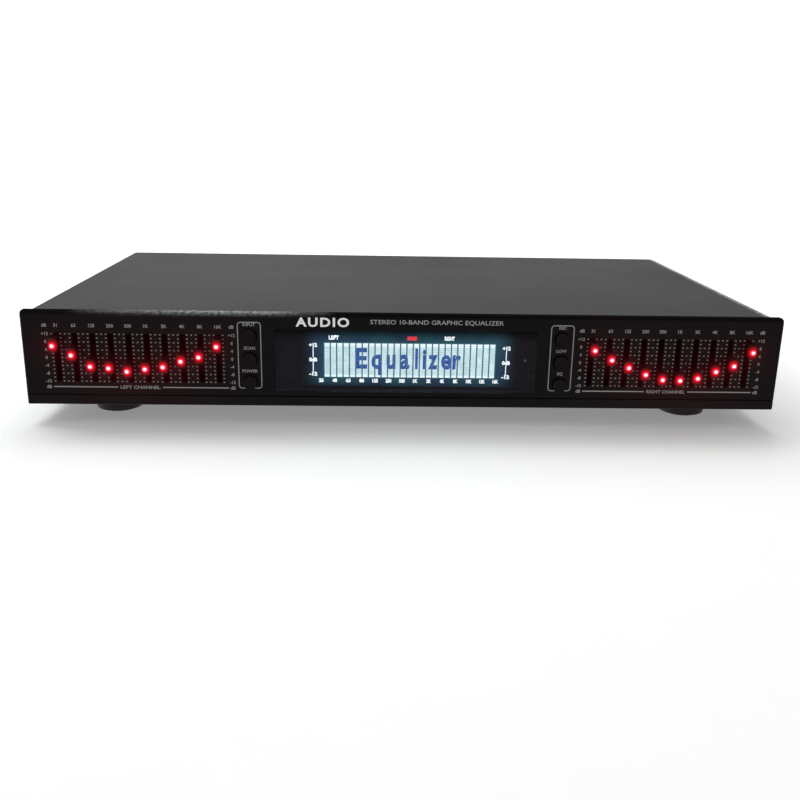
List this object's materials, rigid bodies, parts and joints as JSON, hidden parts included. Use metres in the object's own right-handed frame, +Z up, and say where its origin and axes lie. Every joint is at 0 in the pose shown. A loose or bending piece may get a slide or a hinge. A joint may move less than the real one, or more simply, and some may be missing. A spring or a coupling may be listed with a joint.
{
  "type": "graphic equalizer",
  "caption": "Flat, wide stereo graphic equalizer with two banks of lit slide controls, push buttons and a smoked display window, in a black metal case.",
  "frame": {"origin": "on the surface the feet stand on, at the middle of the overall width and depth", "axes": "+Z up, -Y out of the front panel, +X to the right seen from the front"},
  "size_m": [0.43, 0.262, 0.065],
  "materials": {
    "panel": "black anodised, fine satin",
    "cover": "black powder coat, fine texture",
    "tray": "black powder coat, fine texture",
    "rear": "black paint, satin",
    "black_screw": "black zinc",
    "zinc_screw": "zinc plated",
    "window": "smoked acrylic, polished",
    "tube": "dark display glass",
    "board": "green circuit board",
    "pot": "plated can",
    "switch": "moulded",
    "sensor": "dark epoxy",
    "chip": "moulded epoxy",
    "capacitor": "shrink sleeve",
    "heat_sink": "extruded, plain",
    "transformer": "varnished steel and tape",
    "wire": "grey insulation",
    "jack_plastic": "moulded",
    "jack_metal": "bright nickel",
    "inlet_plastic": "moulded",
    "blade": "nickel plated",
    "foot": "moulded, satin",
    "pad": "soft rubber",
    "slider": "moulded black cap with a lit red lens",
    "button": "gloss moulded"
  },
  "bodies": {
    "chassis": {"board_capacitors": "capacitor", "board_chips": "chip", "board_standoffs": "zinc_screw", "button_boards": "board", "button_switches": "switch", "chassis_base": "tray", "chassis_screws": "zinc_screw", "cover_screws": "black_screw", "display_board": "board", "display_tube": "tube", "display_window": "window", "feet": "foot", "foot_pads": "pad", "foot_screws": "zinc_screw", "front_panel": "panel", "front_panel_screws": "zinc_screw", "fuse_holder": "inlet_plastic", "internal_wiring": "wire", "main_board": "board", "mains_inlet": "inlet_plastic", "mains_inlet_blades": "blade", "phono_jack_barrels": "jack_metal", "phono_jack_block": "jack_plastic", "phono_jack_insulators": "jack_plastic", "power_transformer": "transformer", "rear_panel": "rear", "rear_panel_screws": "black_screw", "regulator_heat_sink": "heat_sink", "remote_sensor": "sensor", "slider_boards": "board", "slider_pots_left": "pot", "slider_pots_right": "pot", "top_cover": "cover"},
    "slider_left_31": {"slider_left_31": "slider"},
    "slider_left_63": {"slider_left_63": "slider"},
    "slider_left_125": {"slider_left_125": "slider"},
    "slider_left_250": {"slider_left_250": "slider"},
    "slider_left_500": {"slider_left_500": "slider"},
    "slider_left_1k": {"slider_left_1k": "slider"},
    "slider_left_2k": {"slider_left_2k": "slider"},
    "slider_left_4k": {"slider_left_4k": "slider"},
    "slider_left_8k": {"slider_left_8k": "slider"},
    "slider_left_16k": {"slider_left_16k": "slider"},
    "slider_right_31": {"slider_right_31": "slider"},
    "slider_right_63": {"slider_right_63": "slider"},
    "slider_right_125": {"slider_right_125": "slider"},
    "slider_right_250": {"slider_right_250": "slider"},
    "slider_right_500": {"slider_right_500": "slider"},
    "slider_right_1k": {"slider_right_1k": "slider"},
    "slider_right_2k": {"slider_right_2k": "slider"},
    "slider_right_4k": {"slider_right_4k": "slider"},
    "slider_right_8k": {"slider_right_8k": "slider"},
    "slider_right_16k": {"slider_right_16k": "slider"},
    "button_input": {"button_input": "button"},
    "button_scan": {"button_scan": "button"},
    "button_power": {"button_power": "button"},
    "button_rec": {"button_rec": "button"},
    "button_low": {"button_low": "button"},
    "button_eq": {"button_eq": "button"}
  },
  "joints": [
    {"name": "slider_left_31_slide", "type": "slide", "parent": "chassis", "child": "slider_left_31", "axis": [0, 0, 1], "range_m": [-0.01844, 0.00156]},
    {"name": "slider_left_63_slide", "type": "slide", "parent": "chassis", "child": "slider_left_63", "axis": [0, 0, 1], "range_m": [-0.01326, 0.00674]},
    {"name": "slider_left_125_slide", "type": "slide", "parent": "chassis", "child": "slider_left_125", "axis": [0, 0, 1], "range_m": [-0.00685, 0.01315]},
    {"name": "slider_left_250_slide", "type": "slide", "parent": "chassis", "child": "slider_left_250", "axis": [0, 0, 1], "range_m": [-0.00606, 0.01394]},
    {"name": "slider_left_500_slide", "type": "slide", "parent": "chassis", "child": "slider_left_500", "axis": [0, 0, 1], "range_m": [-0.00426, 0.01574]},
    {"name": "slider_left_1k_slide", "type": "slide", "parent": "chassis", "child": "slider_left_1k", "axis": [0, 0, 1], "range_m": [-0.00573, 0.01427]},
    {"name": "slider_left_2k_slide", "type": "slide", "parent": "chassis", "child": "slider_left_2k", "axis": [0, 0, 1], "range_m": [-0.00696, 0.01304]},
    {"name": "slider_left_4k_slide", "type": "slide", "parent": "chassis", "child": "slider_left_4k", "axis": [0, 0, 1], "range_m": [-0.01034, 0.00966]},
    {"name": "slider_left_8k_slide", "type": "slide", "parent": "chassis", "child": "slider_left_8k", "axis": [0, 0, 1], "range_m": [-0.01281, 0.00719]},
    {"name": "slider_left_16k_slide", "type": "slide", "parent": "chassis", "child": "slider_left_16k", "axis": [0, 0, 1], "range_m": [-0.01889, 0.00111]},
    {"name": "slider_right_31_slide", "type": "slide", "parent": "chassis", "child": "slider_right_31", "axis": [0, 0, 1], "range_m": [-0.01889, 0.00111]},
    {"name": "slider_right_63_slide", "type": "slide", "parent": "chassis", "child": "slider_right_63", "axis": [0, 0, 1], "range_m": [-0.01349, 0.00651]},
    {"name": "slider_right_125_slide", "type": "slide", "parent": "chassis", "child": "slider_right_125", "axis": [0, 0, 1], "range_m": [-0.0091, 0.0109]},
    {"name": "slider_right_250_slide", "type": "slide", "parent": "chassis", "child": "slider_right_250", "axis": [0, 0, 1], "range_m": [-0.00516, 0.01484]},
    {"name": "slider_right_500_slide", "type": "slide", "parent": "chassis", "child": "slider_right_500", "axis": [0, 0, 1], "range_m": [-0.00224, 0.01776]},
    {"name": "slider_right_1k_slide", "type": "slide", "parent": "chassis", "child": "slider_right_1k", "axis": [0, 0, 1], "range_m": [-0.0019, 0.0181]},
    {"name": "slider_right_2k_slide", "type": "slide", "parent": "chassis", "child": "slider_right_2k", "axis": [0, 0, 1], "range_m": [-0.00325, 0.01675]},
    {"name": "slider_right_4k_slide", "type": "slide", "parent": "chassis", "child": "slider_right_4k", "axis": [0, 0, 1], "range_m": [-0.0073, 0.0127]},
    {"name": "slider_right_8k_slide", "type": "slide", "parent": "chassis", "child": "slider_right_8k", "axis": [0, 0, 1], "range_m": [-0.01068, 0.00932]},
    {"name": "slider_right_16k_slide", "type": "slide", "parent": "chassis", "child": "slider_right_16k", "axis": [0, 0, 1], "range_m": [-0.01855, 0.00145]},
    {"name": "button_input_press", "type": "slide", "parent": "chassis", "child": "button_input", "axis": [0, 1, 0], "range_m": [0, 0.002], "stiffness_N_per_m": 400, "springref_m": -0.001},
    {"name": "button_scan_press", "type": "slide", "parent": "chassis", "child": "button_scan", "axis": [0, 1, 0], "range_m": [0, 0.002], "stiffness_N_per_m": 400, "springref_m": -0.001},
    {"name": "button_power_press", "type": "slide", "parent": "chassis", "child": "button_power", "axis": [0, 1, 0], "range_m": [0, 0.002], "stiffness_N_per_m": 400, "springref_m": -0.001},
    {"name": "button_rec_press", "type": "slide", "parent": "chassis", "child": "button_rec", "axis": [0, 1, 0], "range_m": [0, 0.002], "stiffness_N_per_m": 400, "springref_m": -0.001},
    {"name": "button_low_press", "type": "slide", "parent": "chassis", "child": "button_low", "axis": [0, 1, 0], "range_m": [0, 0.002], "stiffness_N_per_m": 400, "springref_m": -0.001},
    {"name": "button_eq_press", "type": "slide", "parent": "chassis", "child": "button_eq", "axis": [0, 1, 0], "range_m": [0, 0.002], "stiffness_N_per_m": 400, "springref_m": -0.001}
  ]
}
